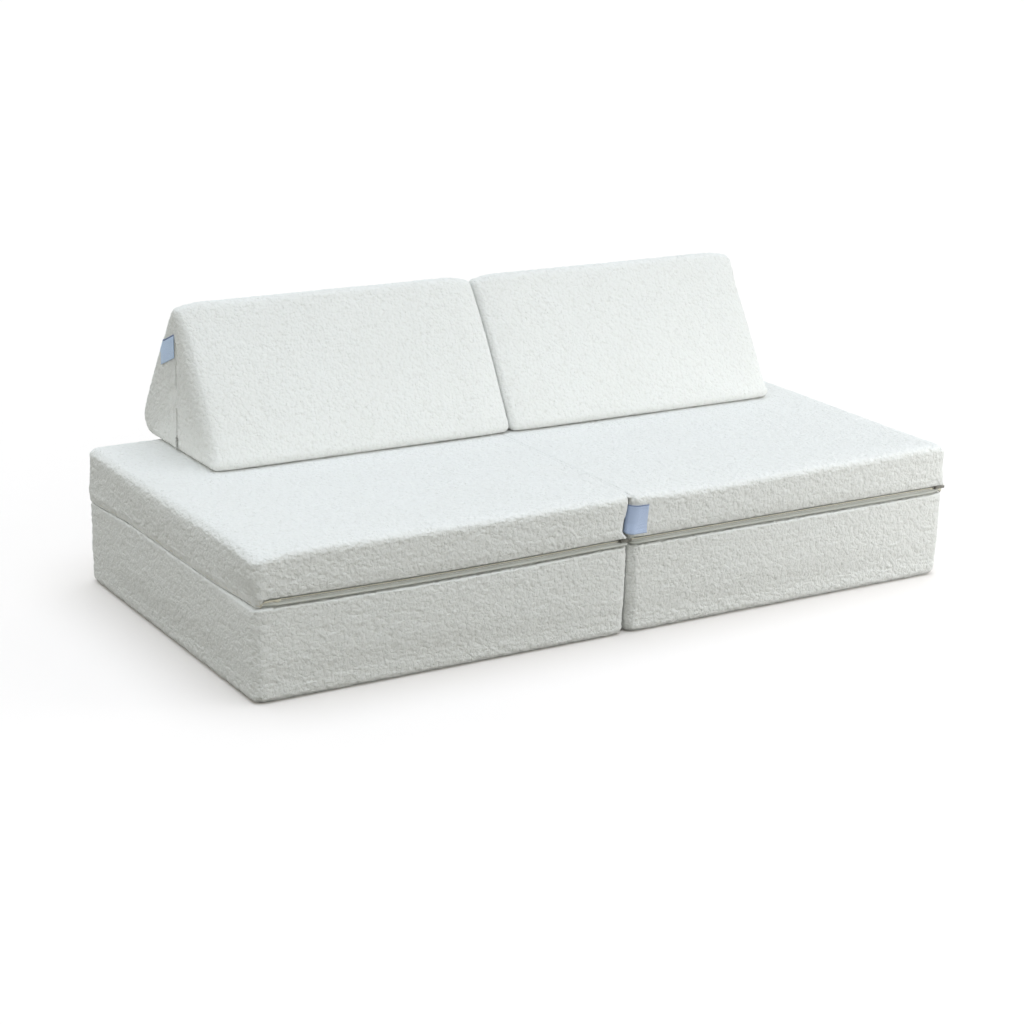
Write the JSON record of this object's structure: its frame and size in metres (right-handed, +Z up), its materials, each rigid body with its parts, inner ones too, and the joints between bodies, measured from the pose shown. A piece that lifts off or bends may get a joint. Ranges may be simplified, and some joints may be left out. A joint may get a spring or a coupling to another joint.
{
  "type": "modular foam play sofa",
  "caption": "Low play sofa: a folding foam base, a folding seat cushion on it and triangular back pillows, all in zipped looped-fabric covers.",
  "frame": {"origin": "on the floor, under the middle of the footprint of the whole sofa with its back pillows on", "axes": "+X along the sofa to the right as a person facing the front of the sofa sees it, +Y from the front to the back, +Z up"},
  "size_m": [1.6798, 0.8842, 0.612],
  "materials": {
    "cover_fabric": "matte",
    "lining_fabric": "matte",
    "foam": "matte",
    "zip_tape": "matte",
    "zip_teeth": "satin",
    "zip_metal": "satin",
    "zip_light": "satin",
    "tag_fabric": "satin"
  },
  "bodies": {
    "base_left": {"base_left_foam": "foam", "base_left_cover": "cover_fabric", "base_left_bottom_panel": "lining_fabric", "base_left_fold_leaf": "lining_fabric", "base_left_zip_tape": "zip_tape", "base_left_zip_teeth": "zip_teeth"},
    "base_right": {"base_right_foam": "foam", "base_right_cover": "cover_fabric", "base_right_bottom_panel": "lining_fabric", "base_right_fold_leaf": "lining_fabric", "base_right_zip_tape": "zip_tape", "base_right_zip_teeth": "zip_teeth"},
    "cushion": {"cushion_left_foam": "foam", "cushion_left_cover": "cover_fabric", "cushion_left_bottom_panel": "lining_fabric", "cushion_left_zip_tape": "zip_tape", "cushion_left_zip_teeth": "zip_teeth", "cushion_right_foam": "foam", "cushion_right_cover": "cover_fabric", "cushion_right_bottom_panel": "lining_fabric", "cushion_right_zip_tape": "zip_tape", "cushion_right_zip_teeth": "zip_teeth", "cushion_fold_strip": "cover_fabric", "cushion_tag": "tag_fabric"},
    "pillow_left": {"pillow_left_foam": "foam", "pillow_left_cover": "cover_fabric", "pillow_left_zip_tape": "zip_tape", "pillow_left_zip_teeth": "zip_teeth", "pillow_left_tag": "tag_fabric"},
    "pillow_right": {"pillow_right_foam": "foam", "pillow_right_cover": "cover_fabric", "pillow_right_zip_tape": "zip_tape", "pillow_right_zip_teeth": "zip_teeth"},
    "base_left_slider": {"base_left_zip_slider": "zip_metal"},
    "base_left_pull": {"base_left_zip_pull": "zip_metal"},
    "cushion_left_slider": {"cushion_left_zip_slider": "zip_metal"},
    "cushion_left_pull": {"cushion_left_zip_pull": "zip_metal"},
    "base_right_slider": {"base_right_zip_slider": "zip_metal"},
    "base_right_pull": {"base_right_zip_pull": "zip_metal"},
    "cushion_right_slider": {"cushion_right_zip_slider": "zip_metal"},
    "cushion_right_pull": {"cushion_right_zip_pull": "zip_metal"},
    "pillow_left_slider": {"pillow_left_zip_slider": "zip_light"},
    "pillow_left_pull": {"pillow_left_zip_pull": "zip_light"},
    "pillow_right_slider": {"pillow_right_zip_slider": "zip_light"},
    "pillow_right_pull": {"pillow_right_zip_pull": "zip_light"}
  },
  "joints": [
    {"name": "base_fold", "type": "hinge", "parent": "base_left", "child": "base_right", "pos_m": [0, -0.02761, 0], "axis": [0, 1, 0], "range_deg": [0, 178]},
    {"name": "cushion_lift", "type": "slide", "parent": "base_left", "child": "cushion", "axis": [0, 0, 1], "range_m": [0, 0.4]},
    {"name": "pillow_left_lift", "type": "slide", "parent": "cushion", "child": "pillow_left", "axis": [0, 0, 1], "range_m": [0, 0.4]},
    {"name": "pillow_right_lift", "type": "slide", "parent": "cushion", "child": "pillow_right", "axis": [0, 0, 1], "range_m": [0, 0.4]},
    {"name": "base_left_zip_slide", "type": "slide", "parent": "base_left", "child": "base_left_slider", "axis": [-1, 0, 0], "range_m": [0, 0.7722]},
    {"name": "base_left_pull_swing", "type": "hinge", "parent": "base_left_slider", "child": "base_left_pull", "pos_m": [-0.0335, 0.38209, 0.034], "axis": [0, 0, 1], "range_deg": [0, 175]},
    {"name": "cushion_left_zip_slide", "type": "slide", "parent": "cushion", "child": "cushion_left_slider", "axis": [-1, 0, 0], "range_m": [0, 0.7921]},
    {"name": "cushion_left_pull_swing", "type": "hinge", "parent": "cushion_left_slider", "child": "cushion_left_pull", "pos_m": [-0.02058, -0.43231, 0.2023], "axis": [0, 0, -1], "range_deg": [0, 175]},
    {"name": "base_right_zip_slide", "type": "slide", "parent": "base_right", "child": "base_right_slider", "axis": [-1, 0, 0], "range_m": [0, 0.7722]},
    {"name": "base_right_pull_swing", "type": "hinge", "parent": "base_right_slider", "child": "base_right_pull", "pos_m": [0.806, 0.38209, 0.034], "axis": [0, 0, 1], "range_deg": [0, 175]},
    {"name": "cushion_right_zip_slide", "type": "slide", "parent": "cushion", "child": "cushion_right_slider", "axis": [-1, 0, 0], "range_m": [0, 0.7921]},
    {"name": "cushion_right_pull_swing", "type": "hinge", "parent": "cushion_right_slider", "child": "cushion_right_pull", "pos_m": [0.813, -0.43231, 0.2023], "axis": [0, 0, -1], "range_deg": [0, 175]},
    {"name": "pillow_left_zip_slide", "type": "slide", "parent": "pillow_left", "child": "pillow_left_slider", "axis": [0, 0, 1], "range_m": [0, 0.1977]},
    {"name": "pillow_left_pull_swing", "type": "hinge", "parent": "pillow_left_slider", "child": "pillow_left_pull", "pos_m": [-0.6867, 0.25489, 0.3276], "axis": [0, 1, 0], "range_deg": [0, 175]},
    {"name": "pillow_right_zip_slide", "type": "slide", "parent": "pillow_right", "child": "pillow_right_slider", "axis": [0, 0, 1], "range_m": [0, 0.1977]},
    {"name": "pillow_right_pull_swing", "type": "hinge", "parent": "pillow_right_slider", "child": "pillow_right_pull", "pos_m": [0.7387, 0.25489, 0.3276], "axis": [0, -1, 0], "range_deg": [0, 175]}
  ]
}
